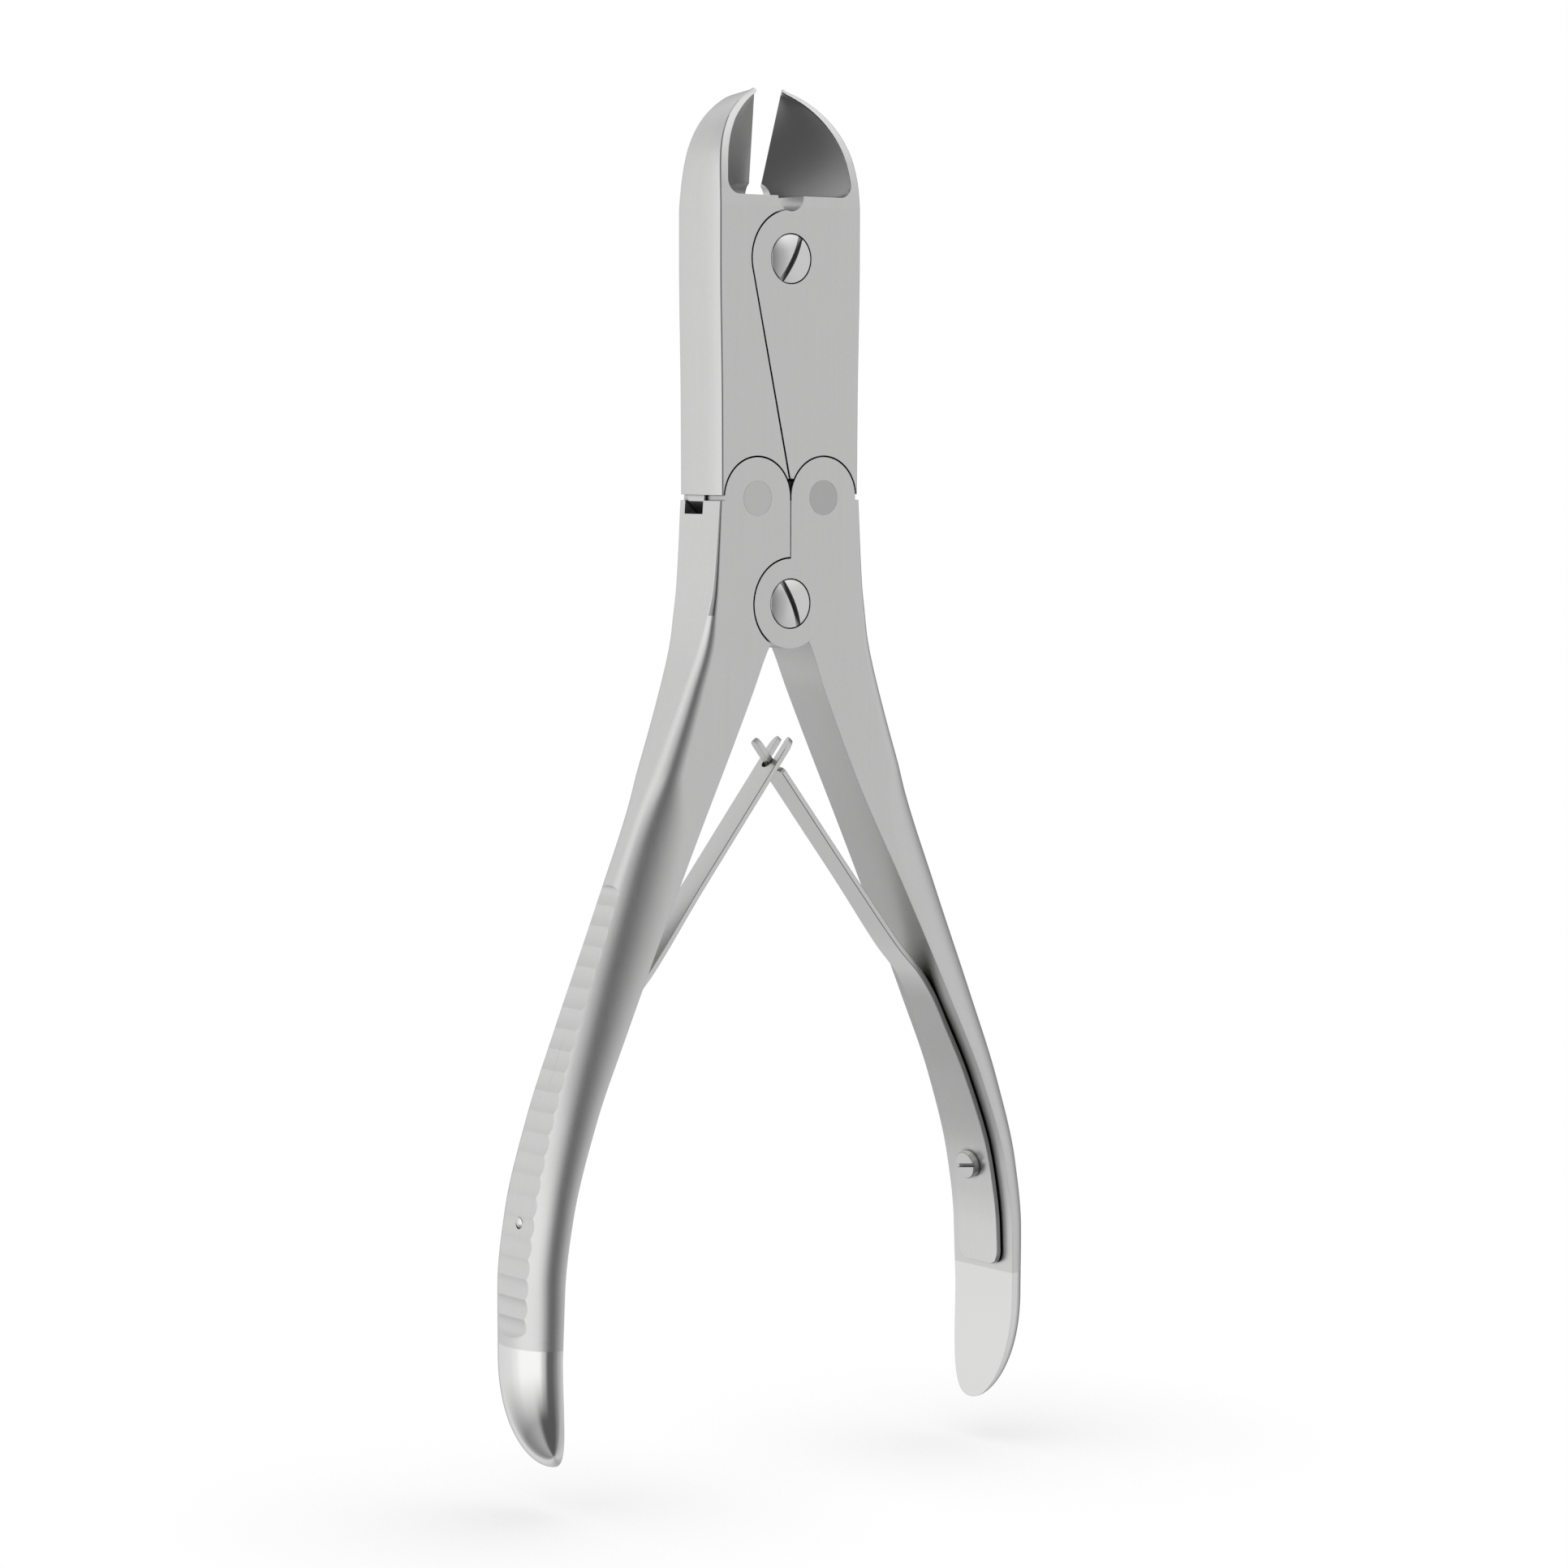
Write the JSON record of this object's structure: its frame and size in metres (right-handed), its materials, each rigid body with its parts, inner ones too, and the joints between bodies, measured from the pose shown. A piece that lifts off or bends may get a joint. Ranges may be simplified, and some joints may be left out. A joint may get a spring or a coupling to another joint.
{
  "type": "double-action wire cutter",
  "caption": "Steel wire cutter with compound lever jaws, box joints with slotted pivot screws, crossed leaf springs and long ribbed handles.",
  "frame": {"origin": "midway between the handle ends, at the height of their lowest points and halfway through the depth", "axes": "+Z along the tool from the handle ends towards the jaw tips, +X to the tool's right seen from the front, -Y out of the front faces, where the slotted screw heads are"},
  "size_m": [0.1078, 0.0162, 0.2295],
  "materials": {
    "handle_left": "satin, with polished ends",
    "handle_right": "satin, with polished ends",
    "jaw_left": "satin",
    "jaw_right": "satin",
    "handle_pivot_screw": "polished",
    "jaw_pivot_screw": "polished",
    "link_pin_left": "satin",
    "link_pin_right": "satin",
    "spring_left_clamped": "satin",
    "spring_left_free": "satin",
    "spring_right_clamped": "satin",
    "spring_right_free": "satin",
    "spring_screw_left": "polished",
    "spring_screw_right": "polished"
  },
  "bodies": {
    "handle_left": {"handle_left": "handle_left", "handle_pivot_screw": "handle_pivot_screw", "link_pin_left": "link_pin_left", "spring_left_clamped": "spring_left_clamped", "spring_screw_left": "spring_screw_left"},
    "handle_right": {"handle_right": "handle_right", "link_pin_right": "link_pin_right", "spring_right_clamped": "spring_right_clamped", "spring_screw_right": "spring_screw_right"},
    "jaw_left": {"jaw_left": "jaw_left", "jaw_pivot_screw": "jaw_pivot_screw"},
    "jaw_right": {"jaw_right": "jaw_right"},
    "leaf_left": {"spring_left_free": "spring_left_free"},
    "leaf_right": {"spring_right_free": "spring_right_free"}
  },
  "joints": [
    {"name": "handle_pivot", "type": "hinge", "parent": "handle_left", "child": "handle_right", "pos_m": [0, 0, 0.14281], "axis": [0, 1, 0], "range_deg": [0, 26], "stiffness_Nm_per_rad": 1.5, "springref_deg": -8.59},
    {"name": "jaw_left_link", "type": "hinge", "parent": "handle_left", "child": "jaw_left", "pos_m": [-0.007, 0, 0.16066], "axis": [0, 1, 0], "range_deg": [0, 18.6]},
    {"name": "jaw_right_link", "type": "hinge", "parent": "handle_right", "child": "jaw_right", "pos_m": [0.007, 0, 0.16066], "axis": [0, -1, 0], "range_deg": [0, 18.6]},
    {"name": "leaf_left_flex", "type": "hinge", "parent": "handle_left", "child": "leaf_left", "pos_m": [-0.03292, 0, 0.07431], "axis": [0, -1, 0], "range_deg": [0, 7.9]},
    {"name": "leaf_right_flex", "type": "hinge", "parent": "handle_right", "child": "leaf_right", "pos_m": [0.03292, 0, 0.07431], "axis": [0, 1, 0], "range_deg": [0, 7.9]}
  ],
  "couplings": [
    {"joint": "jaw_left_link", "follows": "handle_pivot", "ratio": 0.714},
    {"joint": "jaw_right_link", "follows": "handle_pivot", "ratio": 0.714},
    {"joint": "leaf_left_flex", "follows": "handle_pivot", "ratio": 0.3},
    {"joint": "leaf_right_flex", "follows": "handle_pivot", "ratio": 0.3}
  ]
}
